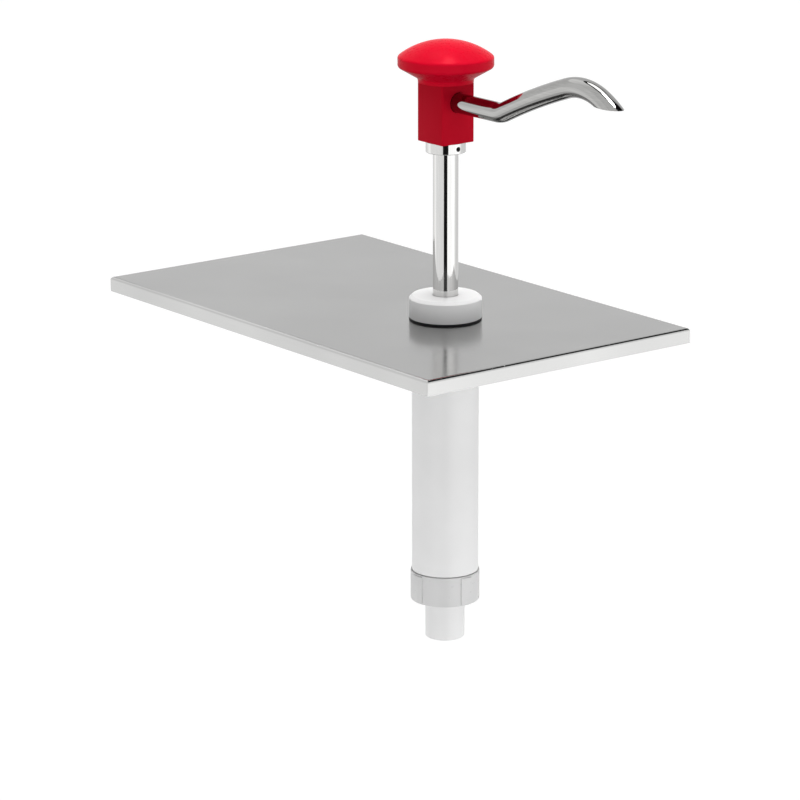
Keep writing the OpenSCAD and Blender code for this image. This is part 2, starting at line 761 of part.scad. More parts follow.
module knob() {
    color([0.85, 0.04, 0.12]) at_pump() difference() {
        rotate_extrude() knob_half();
        disc(boss_d + 2 * thread_gap, block_top - cut, block_top + boss_h + 2 * slip_gap);
    }
}

lid_plate();
lid_gasket();
collar_nut();
rod_guide();
rod_wiper();
pump_cylinder();
ring_nut();
foot_valve_body();
foot_seal();
foot_cage();
foot_ball();
return_spring();
spring_washer();
piston();
piston_seal_upper();
piston_seal_lower();
piston_pin();
discharge_ball();
plunger_tube();
head_ferrule();
ferrule_screw();
head_block();
tube_seal();
spout_seal();
spout();
knob();
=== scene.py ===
# %% [markdown]
# # A sauce pump with a sheet-metal lid
# The pump hangs in a folded steel lid. Its red head sits on a polished tube, a bent spout leaves the
# head, and a white cylinder with a ring nut and an inlet hangs below. The imported model gives the exact
# places of all its solids. Here each visible piece is made again with bevels and clean curves, on the
# same sizes, and every surface gets a procedural finish.

# %% Load the frame and read the boxes of its parts
import bpy
import bmesh
from math import atan2, copysign, cos, degrees, pi, radians, sin, sqrt, tan
from mathutils import Matrix, Vector


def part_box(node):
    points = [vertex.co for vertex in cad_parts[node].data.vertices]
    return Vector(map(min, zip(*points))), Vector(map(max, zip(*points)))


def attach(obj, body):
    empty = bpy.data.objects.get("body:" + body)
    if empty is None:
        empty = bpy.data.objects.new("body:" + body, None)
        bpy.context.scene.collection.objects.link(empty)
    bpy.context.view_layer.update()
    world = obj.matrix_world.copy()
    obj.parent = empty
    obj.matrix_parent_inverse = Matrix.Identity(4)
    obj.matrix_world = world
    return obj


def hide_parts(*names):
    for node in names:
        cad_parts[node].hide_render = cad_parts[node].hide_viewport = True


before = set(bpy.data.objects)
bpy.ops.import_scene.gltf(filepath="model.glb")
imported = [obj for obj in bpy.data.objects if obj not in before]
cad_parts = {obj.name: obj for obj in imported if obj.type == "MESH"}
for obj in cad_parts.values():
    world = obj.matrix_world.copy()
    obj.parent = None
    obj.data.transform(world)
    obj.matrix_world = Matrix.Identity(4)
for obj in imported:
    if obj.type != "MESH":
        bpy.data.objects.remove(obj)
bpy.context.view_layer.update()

# %% [markdown]
# Sizes are easier to read in millimetres, and Blender works in metres. One short value turns one into
# the other. The pump's axis stands off the middle of the lid, so the round pieces are drawn about the
# world's Z axis and moved onto the pump's axis at the end.

# %% Units and the pump's axis
mm = 0.001
tube_low, tube_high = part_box("plunger_tube")
pump_y = (tube_low[1] + tube_high[1]) / 2


def level(node, side):
    """Height in millimetres of a node's lowest (0) or highest (1) point."""
    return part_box(node)[side][2] / mm


print("pump axis at y =", round(pump_y / mm, 2), "mm")

# %% [markdown]
# ## Camera
# The photograph was taken from a little above and from the pump's left, with a long lens: the lid's
# edges hardly converge. The camera's place comes from a fit to the lid's corners, the pump's axis and
# the round edges of the collar and the ring nut. A small shift puts the lens axis where the fit puts it.

# %% Camera
turn, tilt = radians(-38.06), radians(15.2562)
distance, sideways, upwards, fit_height = 1959.64, 15.3603, -49.5346, 0.3
back = Vector((sin(turn) * cos(tilt), -cos(turn) * cos(tilt), sin(tilt)))
right = Vector((cos(turn), sin(turn), 0))
up = back.cross(right)
lens_place = back * distance + right * sideways + up * upwards + Vector((0, 0, fit_height))

camera_data = bpy.data.cameras.new("photo_camera")
camera_data.lens = 173.597
camera_data.sensor_width = 36
camera_data.shift_x = -0.02843
camera_data.clip_start = 0.1
camera_data.clip_end = 60
camera = bpy.data.objects.new("photo_camera", camera_data)
camera.matrix_world = Matrix((
    (right.x, up.x, back.x, lens_place.x * mm),
    (right.y, up.y, back.y, lens_place.y * mm),
    (right.z, up.z, back.z, lens_place.z * mm),
    (0, 0, 0, 1)))
bpy.context.scene.collection.objects.link(camera)
bpy.context.scene.camera = camera
bpy.context.scene.view_settings.view_transform = "Standard"
print("camera at", [round(v, 3) for v in camera.matrix_world.translation])

# %% [markdown]
# ## Helpers for meshes
# Most of the pump is turned work, so most pieces are a half outline spun round an axis. The outline
# starts as one flat face, whose corners are rounded with a vertex bevel. Then only its rim is kept and
# spun. A bevel's offset runs along the edges, so a round of a given radius needs the radius times the
# tangent of half the corner's turn.

# %% Finish an object
weld = 0.002 * mm
crease = 32


def new_object(name, work):
    """Turns a bmesh into an object of the scene."""
    mesh = bpy.data.meshes.new(name)
    work.to_mesh(mesh)
    work.free()
    made = bpy.data.objects.new(name, mesh)
    bpy.context.scene.collection.objects.link(made)
    return made


def finish_piece(name, work, body, stands_for=(), sharp=crease):
    """Makes a piece that rides on body and hides some CAD nodes, smooth but for its sharp edges."""
    bmesh.ops.remove_doubles(work, verts=work.verts, dist=weld)
    bmesh.ops.recalc_face_normals(work, faces=work.faces)
    piece = new_object(name, work)
    for polygon in piece.data.polygons:
        polygon.use_smooth = True
    piece.data.set_sharp_from_angle(angle=radians(sharp))
    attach(piece, body)
    if stands_for:
        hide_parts(*stands_for)
    print(name, "has", len(piece.data.polygons), "faces")
    return piece


# %% Round the corners of an outline
def corner_turn(before, here, after):
    """How far an outline turns at a corner, in radians."""
    a, b = Vector(here) - Vector(before), Vector(after) - Vector(here)
    return a.angle(b)


def rounded_outline(points):
    """A face in the XZ plane from (radius, height, rounding) in millimetres, with its corners rounded."""
    work = bmesh.new()
    corners = [work.verts.new((x * mm, 0, z * mm)) for x, z, _ in points]
    work.faces.new(corners)
    for i, (x, z, rounding) in enumerate(points):
        if not rounding:
            continue
        bend = corner_turn(points[i - 1][:2], (x, z), points[(i + 1) % len(points)][:2])
        bmesh.ops.bevel(
            work, geom=[corners[i]], offset=rounding * tan(bend / 2) * mm, offset_type="OFFSET",
            affect="VERTICES", segments=max(3, int(bend * 5)), profile=0.5, material=-1)
    return work


def arc(centre_x, centre_z, radius, start, end, steps):
    """Points of an arc in an outline, in millimetres and degrees, that need no rounding."""
    angles = [radians(start + (end - start) * i / steps) for i in range(steps + 1)]
    return [(centre_x + radius * cos(a), centre_z + radius * sin(a), 0) for a in angles]


# %% Spin an outline round the pump's axis
round_steps = 128


def spin_about_z(work, geometry, steps, angle=2 * pi):
    """Spins some of a bmesh round Z, and closes the seam of a full turn."""
    bmesh.ops.spin(
        work, geom=geometry, cent=(0, 0, 0), axis=(0, 0, 1), angle=angle, steps=steps,
        use_merge=angle == 2 * pi)


def onto_axis(work):
    """Moves a bmesh that was drawn about Z onto the pump's axis."""
    bmesh.ops.translate(work, verts=work.verts, vec=(0, pump_y, 0))
    return work


def spun(points, steps=round_steps):
    """A bmesh of the outline, without its face and its edges on the axis, spun and in its place."""
    work = rounded_outline(points)
    bmesh.ops.delete(work, geom=work.faces[:], context="FACES_ONLY")
    on_axis = [e for e in work.edges if all(abs(v.co.x) < 1e-8 for v in e.verts)]
    bmesh.ops.delete(work, geom=on_axis, context="EDGES")
    spin_about_z(work, work.verts[:] + work.edges[:], steps)
    return onto_axis(work)


# %% Grow new edges from old ones
def extruded(work, edges):
    """Extrudes edges, and gives the new ones that lie along the old, not those that join the two."""
    grown = bmesh.ops.extrude_edge_only(work, edges=edges)["geom"]
    return [g for g in grown if isinstance(g, bmesh.types.BMEdge) and all(v in grown for v in g.verts)]


def each_once(elements):
    """A list without its repeats, in the same order on every run."""
    return list(dict.fromkeys(elements))


def verts_of(elements):
    """The vertices of some edges or faces, each once."""
    return each_once(v for element in elements for v in element.verts)


def open_edges(work):
    """The edges at the border of a surface, which have only one face."""
    return [e for e in work.edges if len(e.link_faces) == 1]


# %% [markdown]
# ## Helpers for finishes
# Each finish is one Principled shader. Values that are the same all over the surface sit on the
# shader's own sockets. What varies, such as grain or a fine unevenness, comes from noise on Object
# coordinates, in metres, so a scale of 1000 gives features about a millimetre wide.


# %% Start a material and its patterns
def principled(material):
    """A material's one shader."""
    return material.node_tree.nodes["Principled BSDF"]


def new_material(name, **values):
    """A Principled material with the given socket values."""
    material = bpy.data.materials.new(name)
    material.use_nodes = True
    for socket, value in values.items():
        principled(material).inputs[socket.replace("_", " ")].default_value = value
    return material


def noise(material, scale, stretch=(1, 1, 1), detail=3, roughness=0.5):
    """A noise pattern on Object coordinates, stretched along the axes."""
    nodes, links = material.node_tree.nodes, material.node_tree.links
    coordinates = nodes.new("ShaderNodeTexCoord")
    mapping = nodes.new("ShaderNodeMapping")
    mapping.inputs["Scale"].default_value = stretch
    texture = nodes.new("ShaderNodeTexNoise")
    texture.inputs["Scale"].default_value = scale
    texture.inputs["Detail"].default_value = detail
    texture.inputs["Roughness"].default_value = roughness
    links.new(coordinates.outputs["Object"], mapping.inputs["Vector"])
    links.new(mapping.outputs["Vector"], texture.inputs["Vector"])
    return texture.outputs["Fac"]


def spread(material, pattern, low=0, high=1):
    """Maps noise, which mostly lies between 0.3 and 0.7, onto low to high."""
    mapped = material.node_tree.nodes.new("ShaderNodeMapRange")
    mapped.inputs["From Min"].default_value = 0.3
    mapped.inputs["From Max"].default_value = 0.7
    mapped.inputs["To Min"].default_value = low
    mapped.inputs["To Max"].default_value = high
    material.node_tree.links.new(pattern, mapped.inputs["Value"])
    return mapped.outputs["Result"]


# %% Let a pattern drive the surface
def vary_roughness(material, pattern, low, high):
    """Lets the roughness follow a noise pattern between two values."""
    roughness = spread(material, pattern, low, high)
    material.node_tree.links.new(roughness, principled(material).inputs["Roughness"])


def vary_colour(material, pattern, dark, light):
    """Mixes the surface's colour from two by a pattern from 0 to 1."""
    mix = material.node_tree.nodes.new("ShaderNodeMix")
    mix.data_type = "RGBA"
    mix.inputs["A"].default_value = (*dark, 1)
    mix.inputs["B"].default_value = (*light, 1)
    material.node_tree.links.new(pattern, mix.inputs["Factor"])
    material.node_tree.links.new(mix.outputs["Result"], principled(material).inputs["Base Color"])


def raise_surface(material, pattern, distance):
    """Raises the surface by a pattern from 0 to 1 times a distance in metres."""
    bump = material.node_tree.nodes.new("ShaderNodeBump")
    bump.inputs["Distance"].default_value = distance
    material.node_tree.links.new(pattern, bump.inputs["Height"])
    material.node_tree.links.new(bump.outputs["Normal"], principled(material).inputs["Normal"])


def dress(piece, material):
    """Gives a piece or a CAD node one material all over."""
    piece.data.materials.clear()
    piece.data.materials.append(material)


# %% [markdown]
# ## The steels
# The lid is satin sheet: a fine grain runs along it, and its reflections are soft. The tube, the
# ferrule and the spout are polished, with only a trace of the same drawing lines. All are stainless
# steel, a neutral grey that is faintly warm. The spout's is written darker, because in the photograph
# the bent tube is the darkest of them, so its grey is painted shade on the same steel. A picture of
# brushed metal as a texture would be quicker, but stretched noise has no seams, fits any piece and
# stays sharp close up.

# %% Satin sheet
satin_steel = new_material("satin_sheet", Metallic=1.0)
grain = noise(satin_steel, 900, stretch=(1.0, 0.03, 1.0), detail=4)
cloud = noise(satin_steel, 14, detail=2)
vary_roughness(satin_steel, grain, 0.14, 0.18)
vary_colour(satin_steel, spread(satin_steel, cloud), (0.39, 0.39, 0.387), (0.43, 0.43, 0.426))
raise_surface(satin_steel, grain, 0.004 * mm)
print("satin steel made")


# %% Polished tube and spout
def polished(name, stretch, low, high, dark, light):
    """Polished steel with a trace of drawing lines, which run along the axis that stretch makes small."""
    material = new_material(name, Metallic=1.0)
    drawn = noise(material, 1400, stretch=stretch, detail=3)
    vary_roughness(material, drawn, low, high)
    vary_colour(material, spread(material, drawn), dark, light)
    return material


polished_steel = polished(
    "polished_tube", (1.0, 1.0, 0.04), 0.05, 0.09, (0.54, 0.538, 0.532), (0.58, 0.577, 0.571))
# Painted shade: the spout is the tube's steel written darker, so its colour carries shade.
shaded_spout_steel = polished(
    "bent_tube", (1.0, 0.04, 1.0), 0.03, 0.07, (0.29, 0.289, 0.283), (0.33, 0.328, 0.322))
print("polished steels made")

# %% [markdown]
# ## The mouldings
# The red head and knob and the white pump are injection moulded: smooth, semi-gloss, with a very
# slight waviness and a skin that is a little duller in places. One flat colour would look painted, so
# coarse noise shifts it a little, as the melt's flow does. A bump of a few thousandths of a
# millimetre is enough to break up a reflection without looking rough.


# %% Moulded plastics
def moulded(name, dark, light, roughness, shine=0.5):
    """A plastic between two colours, with a fine mould skin and the faint clouds of its flow."""
    material = new_material(name, IOR=1.49, Specular_IOR_Level=shine)
    skin = noise(material, 420, detail=5, roughness=0.6)
    flow = noise(material, 35, detail=2)
    vary_roughness(material, skin, roughness - 0.04, roughness + 0.05)
    vary_colour(material, spread(material, flow), dark, light)
    raise_surface(material, skin, 0.006 * mm)
    return material


# Painted light and shade: knob and head are one red plastic, written lighter on the knob for the light on
# its top and darker on the head for its shaded sides.
lit_knob_plastic = moulded("knob_moulding", (0.55, 0.002, 0.017), (0.59, 0.003, 0.021), 0.28, shine=0.02)
shaded_head_plastic = moulded("head_moulding", (0.42, 0.003, 0.014), (0.46, 0.004, 0.018), 0.34, shine=0.012)
collar_plastic = moulded("collar_moulding", (0.84, 0.84, 0.84), (0.88, 0.88, 0.88), 0.34)
white_plastic = moulded("white_moulding", (0.86, 0.86, 0.86), (0.90, 0.90, 0.90), 0.36)
guide_plastic = moulded("acetal_guide", (0.78, 0.76, 0.70), (0.84, 0.82, 0.76), 0.42)
ring_plastic = moulded("ring_moulding", (0.68, 0.68, 0.68), (0.72, 0.72, 0.72), 0.30)
print("plastics made")

# %% [markdown]
# ## Rubber, wire and balls
# The gasket and the O-rings are black nitrile, matt with a faint mould texture. The inner steel
# pieces hardly show, yet each gets its own finish: bright ground balls, drawn wire with lines along
# it, and stamped discs. One helper makes them all, because they differ only in scale and stretch.

# %% Rubber and the small steels
black_rubber = new_material("nitrile_rubber", IOR=1.5, Specular_IOR_Level=0.2)
speck = noise(black_rubber, 1500, detail=4)
vary_roughness(black_rubber, speck, 0.5, 0.65)
vary_colour(black_rubber, spread(black_rubber, speck), (0.004, 0.004, 0.0045), (0.009, 0.009, 0.0095))
raise_surface(black_rubber, speck, 0.01 * mm)


def small_steel(name, low, high, scale, stretch):
    """A plain bright steel whose roughness and grey follow one pattern."""
    material = new_material(name, Metallic=1.0)
    lines = noise(material, scale, stretch=stretch)
    vary_roughness(material, lines, low, high)
    vary_colour(material, lines, (0.62, 0.62, 0.62), (0.72, 0.72, 0.71))
    return material


ball_steel = small_steel("ground_ball", 0.04, 0.10, 700, (1, 1, 1))
wire_steel = small_steel("drawn_wire", 0.2, 0.32, 1600, (1, 1, 0.3))
disc_steel = small_steel("stamped_disc", 0.25, 0.4, 1200, (1, 0.1, 1))
black_screw = new_material("blackened_screw", Metallic=0.6)
oxide = noise(black_screw, 2500)
vary_roughness(black_screw, oxide, 0.4, 0.55)
vary_colour(black_screw, oxide, (0.008, 0.008, 0.008), (0.02, 0.02, 0.02))
print("rubber and small steels made")

# %% [markdown]
# ## The lid
# The real lid is one sheet, folded down at its four edges, with the folds meeting in an open seam at
# each corner. A box with its edges bevelled and its foot open would be quick, but has no seams. So a
# rectangle of edges is extruded and grown step by step round the fold and then straight down, which
# gives the mitred corners by itself. The pump's hole is drawn down into a short wall, and that wall
# is a spun outline whose top and bottom rings become the hole in the sheet.
#
# Smooth shading blends the direction of a fold over the whole of the next face. A strip under a
# millimetre wide, flat and beside each fold and the drawn wall, keeps the broad faces level.

# %% Sizes of the lid
lid_low, lid_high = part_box("lid_plate")
half_width, half_length = lid_high[0] / mm, lid_high[1] / mm
sheet = lid_high[2] / mm
flange_low = lid_low[2] / mm
fold, fold_steps, fold_strip = 1.0, 8, 0.6
# A seam is open by twice seam_half, from seam_drop below the fold down to the flange's foot.
seam_half, seam_drop = 0.1, 0.35
hole_radius, draw_low, draw_round, draw_edge, draw_strip = 14.2, -2.4, 0.5, 0.15, 0.5
four_corners = ((1, 1), (-1, 1), (-1, -1), (1, -1))
print("lid", half_width * 2, "x", half_length * 2, "mm, sheet", round(sheet, 2), "mm")


# %% Fold a rectangle down
def folded_skin(work, half_x, half_y, top, radius):
    """Grows a rectangle of edges round a fold and down, and gives that rectangle and the lowest edges."""
    flat_x, flat_y = half_x - radius, half_y - radius
    corners = [work.verts.new((sx * (flat_x - fold_strip) * mm, sy * (flat_y - fold_strip) * mm, top * mm))
               for sx, sy in four_corners]
    rectangle = [work.edges.new((corners[i], corners[(i + 1) % 4])) for i in range(4)]
    rim = rectangle
    for step in range(fold_steps + 1):
        a = radians(90 * step / fold_steps)
        rim = extruded(work, rim)
        for v in verts_of(rim):
            v.co.x = copysign(flat_x + radius * sin(a), v.co.x) * mm
            v.co.y = copysign(flat_y + radius * sin(a), v.co.y) * mm
            v.co.z = (top - radius * (1 - cos(a))) * mm
    return rectangle, [flange_end(work, edge) for edge in rim]


def flange_end(work, edge):
    """Drops one edge to the flange's foot, a little short of each corner, and gives it there."""
    along = (edge.verts[1].co - edge.verts[0].co).normalized()
    edge = extruded(work, [edge])[0]
    first, last = sorted(edge.verts, key=lambda v: v.co.dot(along))
    first.co += along * seam_half * mm
    last.co -= along * seam_half * mm
    for v in edge.verts:
        v.co.z -= seam_drop * mm
    edge = extruded(work, [edge])[0]
    for v in edge.verts:
        v.co.z = flange_low * mm
    return edge


# %% [markdown]
# The outer and inner skins are folded alike, one sheet thickness apart. Their lower edges and the
# edges of the corner seams are bridged, and the flat faces are filled between the rectangle and the
# hole's ring, so the lid is one closed sheet.


# %% The drawn wall and the corner seams
def drawn_wall():
    """Half outline of the wall drawn down round the hole, in millimetres."""
    roll = draw_round + sheet
    wall = hole_radius + sheet
    over = arc(hole_radius + roll, sheet - roll, roll, 90, 180, 8)
    under = arc(wall + draw_round, -draw_round, draw_round, 180, 90, 5)
    foot = [(hole_radius, draw_low + draw_edge, 0), (hole_radius + draw_edge, draw_low, 0),
            (wall - draw_edge, draw_low, 0), (wall, draw_low + draw_edge, 0)]
    return ([(hole_radius + roll + draw_strip, sheet, 0)] + over + foot + under
            + [(wall + draw_round + draw_strip, 0, 0)])


def close_seam(work, sx, sy):
    """Closes the sheet's edges at one corner's seam, a face on each side of it."""
    reach, seam_top, fold_foot = 1.5 * mm, (0.1 - fold) * mm, (-0.01 - fold) * mm

    def insets(v):
        return half_width * mm - v.co.x * sx, half_length * mm - v.co.y * sy

    corner = [v for v in verts_of(open_edges(work)) if max(insets(v)) < reach and v.co.z < seam_top]
    mitre = [v for v in corner if v.co.z > fold_foot]
    for side in (1, -1):
        wall = [v for v in corner if v.co.z < fold_foot and side * (insets(v)[0] - insets(v)[1]) > 0]
        bmesh.ops.contextual_create(work, geom=mitre + wall)


# %% The lid, from the drawn wall outwards
def make_lid():
    """The lid as one closed sheet."""
    work = bmesh.new()
    points = [work.verts.new((x * mm, 0, z * mm)) for x, z, _ in drawn_wall()]
    chain = [work.edges.new(pair) for pair in zip(points, points[1:])]
    spin_about_z(work, points + chain, round_steps)
    onto_axis(work)
    rings = open_edges(work)
    top_ring = [e for e in rings if e.verts[0].co.z > 0.5 * mm]
    low_ring = [e for e in rings if e.verts[0].co.z <= 0.5 * mm]
    top_rim, outer_ends = folded_skin(work, half_width, half_length, sheet, fold + sheet)
    low_rim, inner_ends = folded_skin(work, half_width - sheet, half_length - sheet, 0, fold)
    bmesh.ops.triangle_fill(work, use_beauty=True, edges=top_ring + top_rim)
    bmesh.ops.triangle_fill(work, use_beauty=True, edges=low_ring + low_rim)
    for outer in outer_ends:
        middle = outer.verts[0].co + outer.verts[1].co
        inner = min(inner_ends, key=lambda e: (e.verts[0].co + e.verts[1].co - middle).length)
        bmesh.ops.bridge_loops(work, edges=[outer, inner])
    for sx, sy in four_corners:
        close_seam(work, sx, sy)
    return work


lid = finish_piece("lid_sheet", make_lid(), "base", ["lid_plate"], sharp=25)
dress(lid, satin_steel)

# %% [markdown]
# ## Collar nut and gasket
# A white nut clamps the pump to the lid over a thin black gasket. The nut's top edge has a broad
# bevel, whose own two edges are slightly rounded, and its hole is only a little wider than the tube.
# A cylinder with a Bevel modifier would round all edges alike. In a spun outline each corner has its
# own round, and the nut's open foot and the gasket's upturned edge come with it.

# %% Collar nut and gasket
collar_low, collar_top = level("collar_nut", 0), level("collar_nut", 1)
gasket_low = level("lid_gasket", 0)
collar_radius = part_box("collar_nut")[1][0] / mm
bevel, gasket_edge = 1.5, collar_low - 0.4
thread_radius, rubber_radius, rod_hole, gasket_hole = 14.1, 17.2, 6.5, 14.2
cap_low = collar_top - 2.4
collar = finish_piece("collar", spun([
    (thread_radius, collar_low, 0.2), (rubber_radius, collar_low, 0), (rubber_radius, gasket_edge, 0),
    (collar_radius, gasket_edge, 0.15), (collar_radius, collar_top - bevel, 0.4),
    (collar_radius - bevel, collar_top, 0.6), (rod_hole, collar_top, 0.1), (rod_hole, cap_low, 0.1),
    (thread_radius, cap_low, 0.3)]),
    "base", ["collar_nut"])
dress(collar, collar_plastic)
gasket = finish_piece("gasket", spun([
    (gasket_hole, gasket_low, 0.15), (collar_radius, gasket_low, 0.2), (collar_radius, gasket_edge, 0.2),
    (rubber_radius, gasket_edge, 0), (rubber_radius, collar_low, 0), (gasket_hole, collar_low, 0.15)]),
    "base", ["lid_gasket"])
dress(gasket, black_rubber)

# %% [markdown]
# ## Cylinder
# The cylinder is a plain tube that hangs under the lid. Only its wall below the lid shows, but its
# neck, bore and foot thread are drawn too, so it's whole from every side. It is one outline that
# goes down the outside and up through the bore, which a plain cylinder with a Solidify modifier
# couldn't give, because the wall changes its thickness.

# %% Cylinder
cylinder_low, neck_high = level("pump_cylinder", 0), level("pump_cylinder", 1)
shoulder_low, bore_high = cylinder_low + 10.3, -12
neck_outer, neck_bore = 14, 10
cylinder_radius, foot_thread, bore_radius = 16.8, 15.3, 13
cylinder = finish_piece("cylinder", spun([
    (neck_bore, neck_high, 0.2), (neck_outer, neck_high, 0.3), (neck_outer, draw_low, 0.2),
    (cylinder_radius, draw_low, 0.4), (cylinder_radius, shoulder_low, 0.1), (foot_thread, shoulder_low, 0.1),
    (foot_thread, cylinder_low, 0.4), (bore_radius, cylinder_low, 0.2), (bore_radius, bore_high, 0.4),
    (neck_bore, bore_high, 0.2)]),
    "base", ["pump_cylinder"])
dress(cylinder, white_plastic)

# %% [markdown]
# ## Ring nut
# The ring nut holds the foot valve. Four low lugs on its side give a grip, and soft rounds run along
# both of its edges. The lugs could be small cubes, but these would be flat where the real ones follow
# the nut, so each is a small outline spun through a part of a turn.

# %% Ring nut
ring_low, ring_top = level("ring_nut", 0), level("ring_nut", 1)
ring_radius, ring_thread, ring_hole = 17.5, 15.4, 10.3
ring_floor = ring_low + 2.2
ring = finish_piece("ring", spun([
    (ring_hole, ring_low, 0.2), (ring_radius, ring_low, 0.6), (ring_radius, ring_top, 0.3),
    (ring_thread, ring_top, 0.1), (ring_thread, ring_floor, 0.2), (ring_hole, ring_floor, 0.2)]),
    "base", ["ring_nut"])
dress(ring, ring_plastic)

# %% Grip lugs
lug_root, lug_radius, lug_round, lug_half_angle, lug_steps = 17.3, 18.1, 0.25, 11.0, 12
lug_low, lug_high = ring_low + 0.7, ring_top - 0.7


def make_lug(middle):
    """One grip lug, a short bent bar on the ring nut's side, centred at an angle in degrees."""
    work = rounded_outline([
        (lug_root, lug_low, 0), (lug_radius, lug_low, lug_round), (lug_radius, lug_high, lug_round),
        (lug_root, lug_high, 0)])
    to_start = Matrix.Rotation(radians(middle - lug_half_angle), 3, "Z")
    bmesh.ops.rotate(work, cent=(0, 0, 0), matrix=to_start, verts=work.verts)
    section = work.faces[:] + work.edges[:] + work.verts[:]
    spin_about_z(work, section, lug_steps, radians(2 * lug_half_angle))
    return onto_axis(work)


for i in range(4):
    lug = finish_piece(f"ring_lug_{i + 1}", make_lug(90 * i), "base")
    dress(lug, ring_plastic)

# %% [markdown]
# ## Foot valve body
# The inlet is the lower end of the foot valve. Its seat, a cone that the ball closes, is inside, so
# the outline goes down the outside and up through the bore. With so many steps, one outline is also
# less work than cylinders joined and cut by booleans.

# %% Foot valve body
foot_low, foot_top = level("foot_valve_body", 0), level("foot_valve_body", 1)
flange_top = foot_top - 8
flange_foot, groove_low, groove_high = flange_top - 3.2, foot_top - 5.2, foot_top - 2.8
# The inlet's bore meets the seat's cone 3.29 mm above the ball's lowest point.
seat = level("foot_ball", 0) + 3.29
ball_room_low, cage_seat = seat + 2.5, foot_top - 2
inlet_bore, inlet_radius, shank, foot_flange = 6, 10, 10.2, 15.1
spigot, groove, cage_room, ball_room = 12.9, 10.9, 9.5, 8.5
foot = finish_piece("foot_valve", spun([
    (inlet_bore, foot_low, 0.4), (inlet_radius, foot_low, 0.8), (inlet_radius, ring_low, 0),
    (shank, ring_low, 0), (shank, flange_foot, 0.1), (foot_flange, flange_foot, 0.2),
    (foot_flange, flange_top, 0.2), (spigot, flange_top, 0), (spigot, groove_low, 0),
    (groove, groove_low, 0), (groove, groove_high, 0), (spigot, groove_high, 0), (spigot, foot_top, 0.3),
    (cage_room, foot_top, 0), (cage_room, cage_seat, 0), (ball_room, cage_seat, 0),
    (ball_room, ball_room_low, 0), (inlet_bore, seat, 0)]),
    "base", ["foot_valve_body"])
dress(foot, white_plastic)

# %% [markdown]
# ## Plunger tube and ferrule
# Both are turned and polished. The ferrule has a radial hole on the spout's side for its set screw,
# which is cut with a boolean, because a radial hole is no part of a spun shape.

# %% Plunger tube
tube_bore, tube_radius = 5.35, 6.35
tube_foot, tube_end = level("plunger_tube", 0), level("plunger_tube", 1)
tube = finish_piece("rod_tube", spun([
    (tube_bore, tube_foot, 0.1), (tube_radius, tube_foot, 0.2), (tube_radius, tube_end, 0.2),
    (tube_bore, tube_end, 0.1)]),
    "plunger", ["plunger_tube"])
dress(tube, polished_steel)


# %% Cut a round hole with a boolean
past_front = 12


def in_front(depth, height):
    """The point at a depth in front of the pump's axis and a height, both in millimetres."""
    return Vector((0, pump_y - depth * mm, height * mm))


def cut_hole(piece, radius, start, end):
    """Cuts a round hole of a radius in millimetres through a piece between two points, and applies it."""
    axis = end - start
    work = bmesh.new()
    bmesh.ops.create_cone(
        work, cap_ends=True, segments=48, radius1=radius * mm, radius2=radius * mm, depth=axis.length)
    spin_to = Vector((0, 0, 1)).rotation_difference(axis).to_matrix()
    bmesh.ops.rotate(work, cent=(0, 0, 0), matrix=spin_to, verts=work.verts)
    bmesh.ops.translate(work, verts=work.verts, vec=(start + end) / 2)
    tool = new_object("hole_tool", work)
    boolean = piece.modifiers.new("hole", "BOOLEAN")
    boolean.object, boolean.operation, boolean.solver = tool, "DIFFERENCE", "EXACT"
    shaped = bpy.data.meshes.new_from_object(piece.evaluated_get(bpy.context.evaluated_depsgraph_get()))
    piece.modifiers.clear()
    piece.data = shaped
    bpy.data.objects.remove(tool)
    shaped.set_sharp_from_angle(angle=radians(crease))
    print("cut a hole of", radius, "mm radius in", piece.name)


# %% Ferrule with its set screw
ferrule_low, ferrule_top = level("head_ferrule", 0), level("head_ferrule", 1)
ferrule_bore, ferrule_radius, screw_radius, screw_root = 6.4, 10, 1.25, 8
ferrule = finish_piece("ferrule", spun([
    (ferrule_bore, ferrule_low, 0.1), (ferrule_radius, ferrule_low, 0.35),
    (ferrule_radius, ferrule_top, 0.15), (ferrule_bore, ferrule_top, 0.1)]),
    "plunger", ["head_ferrule"])
dress(ferrule, polished_steel)
screw_z = (ferrule_low + ferrule_top) / 2
cut_hole(ferrule, screw_radius, in_front(screw_root, screw_z), in_front(past_front, screw_z))

# %% [markdown]
# ## Head block
# The head is a square block with rounded upright edges. The spout goes into a socket in its front
# face, so the block is a bevelled cube with that hole cut into it. Two bevels in turn do this better
# than one modifier, because the upright edges are rounder than the top and bottom ones.

# %% Head block
block_low, knob_low = level("head_block", 0), level("knob", 0)
block_width, block_corner, block_edge = 20, 0.8, 0.25


def make_block():
    """The head block, a cube that is scaled, bevelled twice and moved into its place."""
    work = bmesh.new()
    bmesh.ops.create_cube(work, size=1)
    height = (knob_low - block_low) * mm
    bmesh.ops.scale(work, vec=(block_width * mm, block_width * mm, height), verts=work.verts)
    upright = [e for e in work.edges if abs(e.verts[0].co.z - e.verts[1].co.z) > 1 * mm]
    bmesh.ops.bevel(work, geom=upright, offset=block_corner * mm, offset_type="OFFSET", affect="EDGES",
                    segments=5, profile=0.5, material=-1)
    ends = [e for e in work.edges if abs(e.verts[0].co.z - e.verts[1].co.z) < 0.001 * mm]
    bmesh.ops.bevel(work, geom=ends, offset=block_edge * mm, offset_type="OFFSET", affect="EDGES",
                    segments=2, profile=0.5, material=-1)
    bmesh.ops.translate(work, verts=work.verts, vec=(0, pump_y, block_low * mm + height / 2))
    return work


block = finish_piece("head", make_block(), "plunger", ["head_block"])
dress(block, shaded_head_plastic)
socket_radius, spout_root = 5.12, 5.35
spout_z = level("spout", 0) + 5
cut_hole(block, socket_radius, in_front(spout_root, spout_z), in_front(past_front, spout_z))

